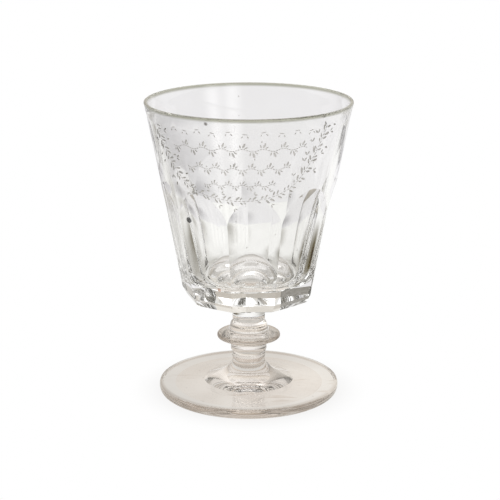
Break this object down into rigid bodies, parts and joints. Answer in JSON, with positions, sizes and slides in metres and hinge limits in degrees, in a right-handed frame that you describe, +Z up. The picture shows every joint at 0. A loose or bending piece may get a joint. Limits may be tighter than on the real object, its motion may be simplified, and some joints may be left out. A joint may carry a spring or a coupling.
{
  "type": "footed dram glass",
  "caption": "Small footed drinking glass: a flute-cut cone bowl with a thick base, a short stem with a bladed knop, and a round stepped foot.",
  "frame": {"origin": "centre of the foot, on the surface the glass stands on", "axes": "+Z up the stem to the rim; the engraved side faces -Y; +X is to the right of someone facing that side"},
  "size_m": [0.0618, 0.0618, 0.09],
  "materials": {
    "bowl_glass": "clear blown glass, fire-polished rim, wheel-cut flutes, fine matt engraving",
    "neck_glass": "clear hand-drawn glass, fire-polished",
    "knop_glass": "clear pressed glass with a warm grey tint, tool marks",
    "collar_glass": "clear glass with a warm grey tint, fire-polished",
    "foot_glass": "clear glass with a warm grey tint, tooled rings, worn standing ring"
  },
  "bodies": {
    "root": {"bowl": "bowl_glass", "neck": "neck_glass", "knop": "knop_glass", "collar": "collar_glass", "foot": "foot_glass"}
  },
  "joints": []
}
